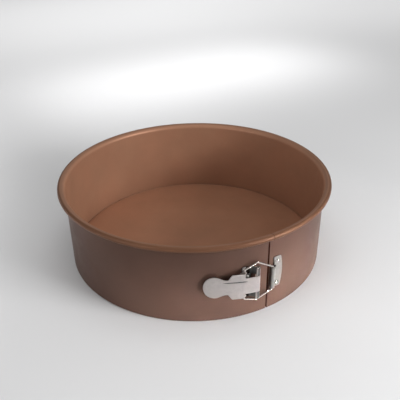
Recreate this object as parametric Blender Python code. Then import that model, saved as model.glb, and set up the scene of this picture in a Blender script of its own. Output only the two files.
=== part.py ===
"""Springform pan, nominal 26 cm: two band halves, a lift-out base and an over-centre latch.

Metres, +Z up. The origin is on the pan's axis, in the plane it stands on.
The band's seam and its latch face -Y, and the band flexes at the back, at +Y.
"""

import bmesh
import bpy
from math import cos, pi, radians, sin, tan
from mathutils import Vector

MM = 0.001

# Driving dimensions of the pan, in millimetres
WALL_R = 130.0          # outside of the wall
SHEET = 0.6             # thickness of the band's sheet
HEIGHT = 82.8           # floor to the top of the rolled rim
RIM_R = 137.1           # outside of the rolled rim
BEAD_R = 2.3            # rolled edge, to the middle of the sheet
LEDGE = 3.8             # width of the ledge that carries the base
BASE_R = 128.2
BASE_T = 1.0
CLEAR = 0.3             # running gap between neighbouring pieces
STEP = radians(4.0)     # facet of every large circle

# The seam and the tongue that covers it from the inside
SEAM_GAP = 1.3
TONGUE_END = 6.2
TONGUE_START = -8.0
TONGUE_Z = (2.0, 76.4)

# The latch: S runs round the wall from the seam, positive to the right as seen from outside,
# D is the distance out from the wall, and heights are from the floor
LATCH_Z = 37.7          # middle of the pivot pin
LEAN = sin(radians(3.5))    # the latch is riveted on a little out of level
PIN_S, PIN_D, PIN_R = -13.2, 4.9, 1.0
HOOK_S, HOOK_D = -25.0, 3.9
CATCH_S = 3.8
PLATE = 0.8             # sheet of the bracket and the catch plate
LEVER_T = 0.9
WIRE_R = 0.9
CURL_IN = 1.3           # inside radius of every curled knuckle

TONGUE_HALF = 8.2       # half heights of the lever's outline
BODY_HALF = 12.9
NECK_HALF = 7.7
PADDLE_HALF = 10.9
BODY_RIGHT, BODY_LEFT = -25.1, -36.2
NECK_S, PADDLE_S, PADDLE_END = -41.0, -50.5, -60.2
PADDLE_D = 3.4
EAR_INSET = 0.35        # the ears are folded in from the body's long edges

BAIL_S, BAIL_HALF = -12.6, 20.4     # the widest place of the wire bail
BAIL_HOOK_HALF = 14.9
KNUCKLE_Z = (24.2, 46.2)            # the catch plate's knuckle
CATCH_Z = (22.6, 55.0)
CATCH_RIGHT, CATCH_BOW = 13.3, 2.1
CATCH_RIVET_S, CATCH_RIVET_Z = 9.2, (27.0, 51.0)

BRACKET_LEFT, BRACKET_RISE, BRACKET_HALF = -26.0, -17.8, 16.2
BRACKET_KNUCKLE = 8.6
BRACKET_SLOT = (-22.6, -18.8)       # cut in from the top and bottom edges, beside the knuckles
BRACKET_RIVET_S, BRACKET_RIVET_HALF = -21.5, 5.5

RIVET_R, RIVET_HEAD_R, RIVET_HOLE_R = 1.1, 2.0, 1.4


def wall_point(s, d):
    """Plan position of a point d outside the wall, s round it from the seam."""
    angle = s / WALL_R
    return Vector(((WALL_R + d) * sin(angle), -(WALL_R + d) * cos(angle)))


def around(centre, angle):
    """Tangent and outward directions of the wall beside a plan point, turned by angle."""
    out = centre.normalized()
    along = Vector((-out.y, out.x))
    return along * cos(angle) + out * sin(angle)


PIN = wall_point(PIN_S, PIN_D)
HOOK = wall_point(HOOK_S, HOOK_D)
CATCH_D = CLEAR + PLATE + CURL_IN
CATCH = wall_point(CATCH_S, CATCH_D)


def lean(s):
    """How much the latch's middle line rises at s, because the latch leans."""
    return -(s - PIN_S) * LEAN


def collection(name, hidden=False):
    made = bpy.data.collections.new(name)
    bpy.context.scene.collection.children.link(made)
    made.hide_render = hidden
    return made


def material(name, colour, roughness, metallic):
    made = bpy.data.materials.new(name)
    made.use_nodes = True
    shader = made.node_tree.nodes["Principled BSDF"]
    shader.inputs["Base Color"].default_value = (*colour, 1.0)
    shader.inputs["Roughness"].default_value = roughness
    shader.inputs["Metallic"].default_value = metallic
    made.diffuse_color = (*colour, 1.0)
    return made


def new_object(name, bm, origin, group, look=None):
    """An object from a bmesh in millimetres, with its origin at a plan point."""
    offset = Vector((origin.x, origin.y, 0.0))
    for vert in bm.verts:
        vert.co = (vert.co - offset) * MM
    bmesh.ops.remove_doubles(bm, verts=bm.verts, dist=1e-6)
    bmesh.ops.recalc_face_normals(bm, faces=bm.faces)
    mesh = bpy.data.meshes.new(name)
    bm.to_mesh(mesh)
    bm.free()
    obj = bpy.data.objects.new(name, mesh)
    obj.location = offset * MM
    group.objects.link(obj)
    if look:
        mesh.materials.append(look)
    return obj


def boolean(obj, tool, operation):
    """Add or take away a tool that stays live in the tools' collection."""
    modifier = obj.modifiers.new(tool.name, "BOOLEAN")
    modifier.operation = operation
    modifier.solver = "EXACT"
    modifier.object = tool
    tool.display_type = "WIRE"
    tool.hide_render = True


def arc(centre, radius, start, end, steps):
    """Points on an arc in a plane, angles in degrees."""
    turns = [radians(start + (end - start) * i / steps) for i in range(steps + 1)]
    return [Vector((centre[0] + radius * cos(a), centre[1] + radius * sin(a))) for a in turns]


def thicken(path, thickness):
    """Both sides of an open path in a plane: its left side and its right side."""
    left, right = [], []
    for i, point in enumerate(path):
        before = path[max(i - 1, 0)]
        after = path[min(i + 1, len(path) - 1)]
        along = (after - before).normalized()
        normal = Vector((-along.y, along.x)) * thickness / 2
        left.append(point + normal)
        right.append(point - normal)
    return left, right


def sweep(profile, start, end):
    """A closed solid from a closed (radius, height) profile, turned about Z between two angles.

    Angles are from -Y towards +X. A full turn is closed on itself, anything less is capped.
    """
    bm = bmesh.new()
    full = abs(end - start - 2 * pi) < 1e-9
    count = max(1, round((end - start) / STEP))
    rings = []
    for i in range(count + (0 if full else 1)):
        angle = start + (end - start) * i / count
        rings.append([bm.verts.new((r * sin(angle), -r * cos(angle), z)) for r, z in profile])
    pairs = list(zip(rings, rings[1:])) + ([(rings[-1], rings[0])] if full else [])
    for ring, following in pairs:
        for j in range(len(profile)):
            k = (j + 1) % len(profile)
            bm.faces.new((ring[j], ring[k], following[k], following[j]))
    if not full:
        bm.faces.new(rings[0])
        bm.faces.new(rings[-1][::-1])
    return bm


def sheet(path, rows, thickness, present=lambda i, j: True):
    """A bent sheet standing on a plan path: station i has the heights rows[i], low to high.

    present(i, j) says whether there is metal between stations i and i + 1 in row j.
    """
    bm = bmesh.new()
    sides = thicken(path, thickness)
    verts = {}

    def vert(side, i, j):
        key = (side, i, j)
        if key not in verts:
            place = sides[side][i]
            verts[key] = bm.verts.new((place.x, place.y, rows[i][j]))
        return verts[key]

    columns, levels = len(path) - 1, len(rows[0]) - 1
    cells = {(i, j) for i in range(columns) for j in range(levels) if present(i, j)}
    for i, j in cells:
        for side in (0, 1):
            bm.faces.new([vert(side, i + a, j + b) for a, b in ((0, 0), (1, 0), (1, 1), (0, 1))])
        borders = (((i - 1, j), (0, 0), (0, 1)), ((i + 1, j), (1, 0), (1, 1)),
                   ((i, j - 1), (0, 0), (1, 0)), ((i, j + 1), (0, 1), (1, 1)))
        for neighbour, one, two in borders:
            if neighbour not in cells:
                a = (i + one[0], j + one[1])
                b = (i + two[0], j + two[1])
                bm.faces.new((vert(0, *a), vert(0, *b), vert(1, *b), vert(1, *a)))
    return bm


def slab(outline, low, high):
    """A flat plate: a plan outline between two heights."""
    bm = bmesh.new()
    bottom = [bm.verts.new((p.x, p.y, low)) for p in outline]
    top = [bm.verts.new((p.x, p.y, high)) for p in outline]
    bm.faces.new(bottom[::-1])
    bm.faces.new(top)
    for i in range(len(outline)):
        k = (i + 1) % len(outline)
        bm.faces.new((bottom[i], bottom[k], top[k], top[i]))
    return bm


def turned(profile, place, axis, sides=16):
    """A solid of revolution: (radius, distance along the axis) from one pole to the other."""
    bm = bmesh.new()
    turn = axis.to_track_quat("Z", "Y")
    rings = []
    for radius, along in profile:
        if radius == 0:
            rings.append([bm.verts.new(place + turn @ Vector((0, 0, along)))] * sides)
            continue
        angles = [2 * pi * k / sides for k in range(sides)]
        rings.append([bm.verts.new(place + turn @ Vector((radius * cos(a), radius * sin(a), along)))
                      for a in angles])
    for ring, following in zip(rings, rings[1:]):
        for k in range(sides):
            n = (k + 1) % sides
            corners = [ring[k], ring[n], following[n], following[k]]
            bm.faces.new(list(dict.fromkeys(corners)))
    return bm


def band_profile():
    """The band's section: ledge, wall, flare and rolled edge, as one closed outline."""
    mid = WALL_R - SHEET / 2
    bead = (RIM_R - SHEET / 2 - BEAD_R, HEIGHT - SHEET / 2 - BEAD_R)
    flare = bead[0] - mid
    corner = 0.9
    path = [Vector((WALL_R - SHEET - LEDGE, SHEET / 2))]
    path += arc((mid - corner, SHEET / 2 + corner), corner, -90, 0, 3)
    path += arc((bead[0], HEIGHT - SHEET / 2 - flare), flare, 180, 90, 5)
    path += arc(bead, BEAD_R, 90, -160, 9)[1:]
    left, right = thicken(path, SHEET)
    return left + right[::-1]


def make_band(name, side, parts, tools, look):
    """One half of the band. side is -1 for the latch's half and 1 for the catch's."""
    edge = CLEAR / 2 / WALL_R
    back = pi - edge
    start, end = (edge, back) if side > 0 else (-back, -edge)
    band = new_object(name, sweep(band_profile(), start, end), Vector((0, 0)), parts, look)
    half = SEAM_GAP / 2
    under_flare = HEIGHT - 6.2
    corners = [(0, 8), (side * half, 8), (side * half, -8), (0, -8)]
    relief = slab([wall_point(s, d) for s, d in corners], -1.0, under_flare)
    boolean(band, new_object(f"{name}_seam_relief", relief, Vector((0, 0)), tools), "DIFFERENCE")
    return band


def make_tongue(band, tools):
    """The strip inside the seam, one piece with the latch's half of the band."""
    inner = -SHEET - CLEAR - SHEET
    count = 4
    stations = [TONGUE_START + (TONGUE_END - TONGUE_START) * i / (2 * count)
                for i in range(2 * count + 1)]
    seam = -SEAM_GAP / 2
    inside = [wall_point(s, inner) for s in stations]
    end_of_lap = seam - 0.4
    lapped = [wall_point(s, -SHEET / 2) for s in stations if s < end_of_lap - 0.5]
    lapped.append(wall_point(end_of_lap, -SHEET / 2))
    free = [wall_point(s, inner + SHEET) for s in [end_of_lap] + [s for s in stations if s > seam]]
    outline = inside + (lapped + free)[::-1]
    strip = slab(outline, *TONGUE_Z)
    boolean(band, new_object("band_tongue", strip, Vector((0, 0)), tools), "UNION")


def make_base(parts, look):
    """The lift-out base: a flat disc with a rounded edge, resting on the ledge."""
    low = SHEET + CLEAR
    high = low + BASE_T
    soft = 0.3
    profile = [(BASE_R - soft, low), (BASE_R, low + soft), (BASE_R, high - soft), (BASE_R - soft, high)]
    bm = bmesh.new()
    count = round(2 * pi / STEP)
    rings = [[bm.verts.new((r * sin(i * STEP), -r * cos(i * STEP), z)) for i in range(count)]
             for r, z in profile]
    for ring, following in zip(rings, rings[1:]):
        for i in range(count):
            k = (i + 1) % count
            bm.faces.new((ring[i], ring[k], following[k], following[i]))
    bm.faces.new(rings[0][::-1])
    bm.faces.new(rings[-1])
    return new_object("base_plate", bm, Vector((0, 0)), parts, look)


def rivet_frame(s, z, d):
    """A place on the wall and the direction out of it."""
    plan = wall_point(s, d)
    out = Vector((plan.x, plan.y, 0.0)).normalized()
    return Vector((plan.x, plan.y, z)), out


def make_rivet(name, s, z, parts, look):
    """A dome-headed rivet through a latch plate and the wall, with a flat tail inside."""
    place, out = rivet_frame(s, z, 0.0)
    tail = -SHEET - 0.2
    head = CLEAR + PLATE + 0.2
    rise = 1.0
    dome = [(RIVET_HEAD_R * cos(radians(a)), head + 0.15 + rise * sin(radians(a)))
            for a in (0, 25, 50, 72)]
    profile = [(0, tail - 0.5), (RIVET_HEAD_R - 0.2, tail - 0.5), (RIVET_HEAD_R, tail - 0.3),
               (RIVET_HEAD_R, tail), (RIVET_R, tail), (RIVET_R, head), (RIVET_HEAD_R, head)]
    profile += dome + [(0, head + 0.15 + rise)]
    plan = Vector((place.x, place.y))
    return new_object(name, turned(profile, place, out), plan, parts, look)


def rivet_hole(name, s, z, targets, tools):
    """A clearance hole for a rivet through each target."""
    place, out = rivet_frame(s, z, 0.0)
    bm = turned([(0, -3.0), (RIVET_HOLE_R, -3.0), (RIVET_HOLE_R, 4.0), (0, 4.0)], place, out)
    tool = new_object(name, bm, Vector((0, 0)), tools)
    for target in targets:
        boolean(target, tool, "DIFFERENCE")


def curl(centre, radius, start, end, steps):
    """Plan points of a knuckle round a vertical axis: 0 is along the wall, 90 straight out."""
    return [centre + around(centre, radians(start + (end - start) * i / steps)) * radius
            for i in range(steps + 1)]


def ease(x):
    x = min(max(x, 0.0), 1.0)
    return x * x * (3 - 2 * x)


def lever_outline(s):
    """Half height of the lever at s, from the paddle's round end to the tongue."""
    if s < PADDLE_S:
        reach = (PADDLE_S - s) / (PADDLE_S - PADDLE_END)
        return PADDLE_HALF * max(0.0, 1 - min(reach, 1.0) ** 2.2) ** 0.5
    if s < NECK_S:
        return PADDLE_HALF + (NECK_HALF - PADDLE_HALF) * ease((s - PADDLE_S) / (NECK_S - PADDLE_S))
    if s < BODY_LEFT:
        shoulder = max(0.0, (s - NECK_S - 1.6) / (BODY_LEFT - NECK_S - 1.6))
        return NECK_HALF + (BODY_HALF - NECK_HALF) * shoulder
    return BODY_HALF if s < BODY_RIGHT else TONGUE_HALF


def lever_distance(s):
    """Distance from the wall to the middle of the lever's sheet."""
    top = PIN_D + CURL_IN + LEVER_T / 2
    return PADDLE_D + (top - PADDLE_D) * ease((s - PADDLE_END + 8) / (PIN_S - PADDLE_END + 8))


def make_lever(parts, tools, look):
    """The lever: a round paddle, a wide body and a tongue curled round the pivot pin."""
    stops = [PADDLE_END + step for step in (0.05, 0.5, 1.4, 2.8, 4.8, 7.2)]
    stops += [PADDLE_S, PADDLE_S + 3.2, PADDLE_S + 6.4, NECK_S, NECK_S + 1.6, BODY_LEFT]
    stops += [BODY_LEFT + 3.7, BODY_LEFT + 7.4, BODY_RIGHT - 0.3, BODY_RIGHT, BODY_RIGHT + 4, BODY_RIGHT + 8]
    path = [wall_point(s, lever_distance(s)) for s in stops]
    halves = [(s, lever_outline(s)) for s in stops]
    rounded = curl(PIN, CURL_IN + LEVER_T / 2, 90, -190, 14)
    path += rounded
    halves += [(PIN_S, TONGUE_HALF)] * len(rounded)
    rows = [(LATCH_Z + lean(s) - half, LATCH_Z + lean(s) + half) for s, half in halves]
    lever = new_object("lever", sheet(path, rows, LEVER_T), PIN, parts, look)
    for side, place in ((1, "upper"), (-1, "lower")):
        root = lever_distance(BODY_RIGHT - 3)
        shape = [(-5.4, root), (-0.4, root), (1.8, 4.8), (2.0, 3.2),
                 (1.0, 2.2), (-1.0, 2.1), (-3.2, 2.9), (-4.8, 4.2)]
        shape = [(BODY_RIGHT + s, d) for s, d in shape]
        outer = LATCH_Z + lean(HOOK_S) + side * (BODY_HALF - EAR_INSET)
        inner = outer - side * LEVER_T
        ear = slab([wall_point(s, d) for s, d in shape], min(outer, inner), max(outer, inner))
        boolean(lever, new_object(f"lever_ear_{place}", ear, Vector((0, 0)), tools), "UNION")
    return lever


def make_bracket(parts, look):
    """The bracket: a riveted plate, slotted above and below, whose right edge curls round the pin."""
    base_d = CLEAR + PLATE / 2
    radius = CURL_IN + PLATE / 2
    flat = [BRACKET_LEFT, *BRACKET_SLOT, BRACKET_RISE]
    slot, last_flat = 1, len(flat) - 1
    steps = 5
    rise = [BRACKET_RISE + (PIN_S - 0.5 - BRACKET_RISE) * i / steps for i in range(1, steps + 1)]
    path = [wall_point(s, base_d) for s in flat]
    for i, s in enumerate(rise, 1):
        path.append(wall_point(s, base_d + (PIN_D - radius - base_d) * ease(i / steps)))
    rounded = curl(PIN, radius, -90, 165, 12)
    path += rounded
    plan_s = flat + rise + [PIN_S] * len(rounded)
    levels = (-BRACKET_HALF, -BRACKET_KNUCKLE, BRACKET_KNUCKLE, BRACKET_HALF)
    rows = [[LATCH_Z + lean(s) * 0.5 + v for v in levels] for s in plan_s]
    bm = sheet(path, rows, PLATE, lambda i, j: i < last_flat if j == 1 else i != slot)
    return new_object("latch_bracket", bm, PIN, parts, look)


def make_pin(parts, look):
    """The lever's pivot pin, with a low dome at each end."""
    half = BRACKET_HALF + 0.1
    dome = [(PIN_R, half), (0.7, half + 0.25), (0, half + 0.4)]
    profile = [(r, -z) for r, z in dome[::-1]] + dome
    place = Vector((PIN.x, PIN.y, LATCH_Z))
    return new_object("lever_pin", turned(profile, place, Vector((0, 0, 1))), PIN, parts, look)


def make_catch(parts, look):
    """The catch plate: riveted on, bowed at its right edge, curled round the bail at its left."""
    base_d = CLEAR + PLATE / 2
    radius = CURL_IN + PLATE / 2
    middle = sum(CATCH_Z) / 2
    half = (CATCH_Z[1] - CATCH_Z[0]) / 2
    bow_steps = 5
    bow = []
    for i in range(bow_steps, -1, -1):
        across = 1 - (i / bow_steps) ** 1.6 * 0.88
        bow.append((CATCH_RIGHT + CATCH_BOW * (1 - across ** 2), half * across))
    stops = bow + [(11.5, half), (9.2, half), (7.0, half), (4.9, half), (4.6, None)]
    path = [wall_point(s, base_d) for s, _ in stops]
    rounded = curl(CATCH, radius, -90, -345, 13)
    path += rounded
    rows = []
    for s, reach in stops + [(CATCH_S, None)] * len(rounded):
        tilt = -(s - CATCH_RIGHT + 4) * LEAN if reach else 0.0
        low, high = (middle - reach + tilt, middle + reach + tilt) if reach else KNUCKLE_Z
        rows.append((low, high))
    return new_object("catch_plate", sheet(path, rows, PLATE), CATCH, parts, look)


def fillet(points, radius, steps=4):
    """A path through the points with each inner corner rounded."""
    path = [points[0]]
    for before, corner, after in zip(points, points[1:], points[2:]):
        to_before = (before - corner).normalized()
        to_after = (after - corner).normalized()
        half_angle = to_before.angle(to_after) / 2
        run = radius / tan(half_angle)
        centre = corner + (to_before + to_after).normalized() * radius / sin(half_angle)
        first, last = corner + to_before * run - centre, corner + to_after * run - centre
        for i in range(steps + 1):
            path.append(centre + first.slerp(last, i / steps))
    return path + [points[-1]]


def bail_points():
    """Corners of the wire bail, from its upper hook round the catch to its lower hook."""
    chord = HOOK - CATCH
    share = (BAIL_S - CATCH_S) / (HOOK_S - CATCH_S)
    wide = CATCH + chord * share

    def spot(plan, z):
        return Vector((plan.x, plan.y, z))

    hook_mid = LATCH_Z + lean(HOOK_S)
    wide_mid = LATCH_Z + lean(BAIL_S)
    tip = BODY_HALF + 0.5
    elbow = BAIL_HOOK_HALF + 0.9
    return [spot(HOOK, hook_mid + tip), spot(HOOK, hook_mid + elbow),
            spot(wide, wide_mid + BAIL_HALF),
            spot(CATCH, KNUCKLE_Z[1] + 1.3), spot(CATCH, KNUCKLE_Z[0] - 1.6),
            spot(wide, wide_mid - BAIL_HALF),
            spot(HOOK, hook_mid - elbow), spot(HOOK, hook_mid - tip)]


def make_bail(parts, look):
    """The wire bail: one bent wire, hinged in the catch plate's knuckle."""
    origin = Vector((CATCH.x, CATCH.y, 0.0))
    data = bpy.data.curves.new("wire_bail", "CURVE")
    data.dimensions = "3D"
    data.bevel_depth = WIRE_R * MM
    data.bevel_resolution = 2
    data.use_fill_caps = True
    points = fillet(bail_points(), 1.3)
    spline = data.splines.new("POLY")
    spline.points.add(len(points) - 1)
    for target, point in zip(spline.points, points):
        target.co = (*((point - origin) * MM), 1.0)
    data.materials.append(look)
    bail = bpy.data.objects.new("wire_bail", data)
    bail.location = origin * MM
    parts.objects.link(bail)
    return bail


def main():
    for obj in list(bpy.data.objects):
        bpy.data.objects.remove(obj, do_unlink=True)
    parts = collection("springform_pan")
    tools = collection("springform_pan_tools", hidden=True)

    coat = (0.185, 0.105, 0.080)
    steel = (0.60, 0.58, 0.56)
    left = make_band("band_left", -1, parts, tools, material("band_left", coat, 0.42, 0.35))
    right = make_band("band_right", 1, parts, tools, material("band_right", coat, 0.42, 0.35))
    make_tongue(left, tools)
    make_base(parts, material("base_plate", (0.17, 0.09, 0.055), 0.45, 0.3))
    make_lever(parts, tools, material("lever", steel, 0.32, 1.0))
    bracket = make_bracket(parts, material("latch_bracket", steel, 0.34, 1.0))
    catch = make_catch(parts, material("catch_plate", steel, 0.34, 1.0))
    make_pin(parts, material("lever_pin", steel, 0.25, 1.0))
    make_bail(parts, material("wire_bail", (0.66, 0.62, 0.58), 0.22, 1.0))

    for place, z in zip(("lower", "upper"), CATCH_RIVET_Z):
        look = material(f"catch_rivet_{place}", steel, 0.25, 1.0)
        make_rivet(f"catch_rivet_{place}", CATCH_RIVET_S, z, parts, look)
        rivet_hole(f"catch_hole_{place}", CATCH_RIVET_S, z, (catch, right), tools)
    for place, side in (("lower", -1), ("upper", 1)):
        z = LATCH_Z + lean(BRACKET_RIVET_S) + side * BRACKET_RIVET_HALF
        look = material(f"bracket_rivet_{place}", steel, 0.25, 1.0)
        make_rivet(f"bracket_rivet_{place}", BRACKET_RIVET_S, z, parts, look)
        rivet_hole(f"bracket_hole_{place}", BRACKET_RIVET_S, z, (bracket, left), tools)


main()
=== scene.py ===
"""The finished look of the springform pan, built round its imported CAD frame.

Lengths are in millimetres until a mesh is made. S runs round the wall from the seam, positive to
the right as seen from outside, D is the distance out from the wall, and heights are from the floor.
On a stamped sheet, U is the length along its bent line and V the distance up from its middle line.
"""

from math import atan2, cos, pi, radians, sin, tan

import bmesh
import bpy
import numpy as np
from mathutils import Matrix, Vector
from mathutils.geometry import delaunay_2d_cdt


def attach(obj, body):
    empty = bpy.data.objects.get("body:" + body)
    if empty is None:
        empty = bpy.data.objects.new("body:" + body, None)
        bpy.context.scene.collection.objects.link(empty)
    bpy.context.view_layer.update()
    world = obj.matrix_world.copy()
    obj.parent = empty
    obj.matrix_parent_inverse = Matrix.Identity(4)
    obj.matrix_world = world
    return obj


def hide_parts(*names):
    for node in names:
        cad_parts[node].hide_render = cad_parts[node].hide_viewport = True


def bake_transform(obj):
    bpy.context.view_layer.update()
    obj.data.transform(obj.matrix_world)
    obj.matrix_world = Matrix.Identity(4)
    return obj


MM = 0.001

# The pan
WALL_R = 130.0
SHEET = 0.6
HEIGHT = 82.8
RIM_R = 137.0           # a true circle that stays inside the frame's faceted one
BEAD_R = 2.3
LEDGE = 3.8
BASE_R = 128.2
BASE_T = 1.0
CLEAR = 0.3
STEP = radians(0.75)    # from one column of the band's mesh to the next
BACK_HALF = 25          # columns of the flexing stretch at the back, on each side
FOOT_CORNER = 0.9

# The seam and the tongue behind it
SEAM_GAP = 1.7
RIM_GAP, RIM_GAP_DROP, RIM_GAP_FADE = 0.3, 6.2, 1.2
TONGUE_START, TONGUE_END = -8.0, 6.2
TONGUE_Z = (0.9, 76.4)

# The latch
LATCH_Z = 37.7
LEAN = sin(radians(3.5))
PIN_S, PIN_D, PIN_R = -13.2, 4.9, 1.0
HOOK_S, HOOK_D = -25.0, 3.9
CATCH_S = 3.8
PLATE = 0.8
LEVER_T = 0.9
WIRE_R = 0.9
CURL_IN = 1.3           # the inside radius of every curled knuckle

# The lever's outline, from its tongue to the paddle's end
TONGUE_HALF = 8.2
BODY_HALF = 12.9
NECK_HALF = 7.7
PADDLE_HALF = 10.9
BODY_RIGHT, BODY_LEFT = -25.1, -36.2
NECK_S, PADDLE_S, PADDLE_END = -41.0, -50.5, -60.2
PADDLE_D = 3.4
EAR_INSET = 0.35
GROOVE_LEFT, GROOVE_RIGHT, GROOVE_V = -45.4, -21.6, 4.9
GROOVE_HALF, GROOVE_DEPTH, GROOVE_TAPER = 0.85, 0.9, 6

# The wire bail, widest at BAIL_S, and the catch plate that holds it
BAIL_S, BAIL_HALF = -12.6, 20.4
BAIL_HOOK_HALF, BAIL_BEND = 14.9, 1.3
KNUCKLE_Z = (24.2, 46.2)
CATCH_Z = (22.6, 55.0)
CATCH_RIGHT, CATCH_BOW = 13.3, 2.1
CATCH_ROOT, CATCH_FLAT = 4.9, 4.6       # the knuckle's root, and the end of the flat sheet
CATCH_RELIEF = 1.5
CATCH_RIVET_S, CATCH_RIVET_Z = 9.2, (27.0, 51.0)

# The bracket under the lever, and the rivets
BRACKET_LEFT, BRACKET_RISE, BRACKET_HALF = -26.0, -17.8, 16.2
BRACKET_KNUCKLE = 8.6
BRACKET_LEAN = 0.5      # how much of the lever's lean the bracket follows
BRACKET_SLOT = (-22.6, -18.8)
BRACKET_RIVET_S, BRACKET_RIVET_HALF = -21.5, 5.5
RIVET_R, RIVET_HEAD_R, RIVET_RISE = 1.1, 2.0, 1.1

# The camera, as it stands to the pan, in metres: heading from +Y towards +X
HEADING, PITCH, ROLL = radians(29.39), radians(29.56), radians(0.83)
CAMERA_BACK, CAMERA_SIDE, CAMERA_HEIGHT = 0.50089, 0.00533, 0.33441
LENS, SENSOR = 49.5, 36.0

# Paint, plating and paper, and the colours of painted shade
OUTSIDE = (0.0975, 0.0555, 0.042)
INSIDE = (0.344, 0.181, 0.112)
# painted shade: the inside coat darkens over the flare and more over the rolled rim
FLARE_SHADE = (0.258, 0.132, 0.081)
RIM_SHADE = (0.141, 0.064, 0.035)
DISC = (0.368, 0.188, 0.113)
PAPER = (0.72, 0.72, 0.725)
# painted shade: the seam gap's near black, on the tongue's outer face and the band's cut edges
SEAM_SHADE = (0.026, 0.007, 0.004)
# painted shade: near black for the wall seen through the bracket's slots and behind the catch's relief
PAINTED_SHADE = (0.010, 0.007, 0.006)
STEEL = (0.455, 0.42, 0.405)
CATCH_STEEL = (0.31, 0.30, 0.285)
# painted shade: a near black steel for the bracket's shaded part and the lever's groove
SHADE_STEEL = (0.11, 0.11, 0.105)
RIVET_STEEL = (0.55, 0.53, 0.51)
WIRE = (0.55, 0.51, 0.48)


# ---------------------------------------------------------------- places on the pan

def wall_point(s, d):
    angle = s / WALL_R
    return Vector(((WALL_R + d) * sin(angle), -(WALL_R + d) * cos(angle), 0.0))


def beside(centre, angle):
    """A direction round a plan point: 0 is along the wall and 90 straight out."""
    out = centre.normalized()
    along = Vector((-out.y, out.x, 0.0))
    return along * cos(radians(angle)) + out * sin(radians(angle))


PIN = wall_point(PIN_S, PIN_D)
HOOK = wall_point(HOOK_S, HOOK_D)
CATCH = wall_point(CATCH_S, CLEAR + PLATE + CURL_IN)


def lean(s):
    """How much the latch's middle line rises at s."""
    return -(s - PIN_S) * LEAN


def ease(x):
    x = min(max(x, 0.0), 1.0)
    return x * x * (3 - 2 * x)


def spaced(start, end, step):
    """Evenly spaced values from start to end, no further apart than step."""
    return [float(x) for x in np.linspace(start, end, max(2, int(abs(end - start) / step) + 2))]


# ---------------------------------------------------------------- meshes

def shown(name, mesh, body, replaced=()):
    """Put a finished mesh in the scene on its body."""
    obj = bpy.data.objects.new(name, mesh)
    bpy.context.scene.collection.objects.link(obj)
    if body:
        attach(obj, body)
    if replaced:
        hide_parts(*replaced)
    return obj


def smooth_mesh(name, verts, faces, looks, slots=None):
    """A closed mesh in metres with smooth faces and sharp edges kept."""
    mesh = bpy.data.meshes.new(name)
    bm = bmesh.new()
    made = [bm.verts.new(Vector(v) * MM) for v in verts]
    for i, face in enumerate(faces):
        new = bm.faces.new([made[k] for k in face])
        new.smooth = True
        new.material_index = slots[i] if slots else 0
    bmesh.ops.recalc_face_normals(bm, faces=bm.faces)
    bm.to_mesh(mesh)
    bm.free()
    mesh.set_sharp_from_angle(angle=radians(38))
    for look in looks:
        mesh.materials.append(look)
    return mesh


def arc(centre, radius, start, end, steps):
    """Points on an arc in a plane, angles in degrees."""
    turns = [radians(start + (end - start) * i / steps) for i in range(steps + 1)]
    return [Vector((centre[0] + radius * cos(a), centre[1] + radius * sin(a))) for a in turns]


def directions(points):
    """The direction of an open line at each of its points."""
    ends = [points[0], *points, points[-1]]
    return [(after - before).normalized() for before, after in zip(ends, ends[2:])]


def band_path():
    """The middle of the band's sheet in its section, from the ledge to the end of the rolled edge."""
    mid = WALL_R - SHEET / 2
    bead = (RIM_R - SHEET / 2 - BEAD_R, HEIGHT - SHEET / 2 - BEAD_R)
    flare = bead[0] - mid
    foot = arc((mid - FOOT_CORNER, SHEET / 2 + FOOT_CORNER), FOOT_CORNER, -90, 0, 7)
    turn = arc((bead[0], HEIGHT - SHEET / 2 - flare), flare, 180, 90, 14)
    ledge = [Vector((r, SHEET / 2)) for r in spaced(WALL_R - SHEET - LEDGE, foot[0].x, 1.0)]
    wall = [Vector((mid, z)) for z in spaced(foot[-1].y, turn[0].y, 9.0)]
    return ledge[:-1] + foot[:-1] + wall + turn[1:] + arc(bead, BEAD_R, 90, -160, 30)[1:]


def swept_sheet(name, path, columns, looks):
    """The band's sheet turned about the axis, with its true normals.

    columns give the angle from -Y towards +X at each height. The path's left side takes the
    first look, its right side the second and the ends the third.
    """
    tangents = directions(path)
    sides = [Vector((-t.y, t.x)) for t in tangents]
    left = [(p + n * SHEET / 2, n) for p, n in zip(path, sides)]
    right = [(p - n * SHEET / 2, -n) for p, n in zip(path, sides)]
    ring = left + right[::-1]
    count, half = len(ring), len(path)

    def turned(flat, angle):
        return (flat.x * sin(angle), -flat.x * cos(angle), flat.y)

    verts = [turned(p * MM, column(p.y)) for column in columns for p, _ in ring]
    faces, normals, slots = [], [], []
    for c in range(len(columns) - 1):
        for k in range(count):
            n = (k + 1) % count
            a, b = c * count, (c + 1) * count
            faces.append((a + k, a + n, b + n, b + k))
            edge = {half - 1: tangents[-1], count - 1: -tangents[0]}.get(k)
            near, far = columns[c], columns[c + 1]
            for corner, column in ((k, near), (n, near), (n, far), (k, far)):
                place, normal = ring[corner]
                normals.append(turned(edge or normal, column(place.y)))
            slots.append(1 if half - 1 <= k < count - 1 else 0)
    for c, way in ((0, -1), (len(columns) - 1, 1)):
        for i in range(half - 1):
            face = [c * count + k for k in (i, i + 1, count - 2 - i, count - 1 - i)]
            faces.append(tuple(face if way > 0 else face[::-1]))
            angle = columns[c](path[i].y)
            normals += [(way * cos(angle), way * sin(angle), 0.0)] * 4
            slots.append(2)
    mesh = bpy.data.meshes.new(name)
    mesh.from_pydata(verts, [], faces)
    mesh.polygons.foreach_set("material_index", slots)
    mesh.polygons.foreach_set("use_smooth", [True] * len(faces))
    for look in looks:
        mesh.materials.append(look)
    mesh.normals_split_custom_set(normals)
    return mesh


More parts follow.
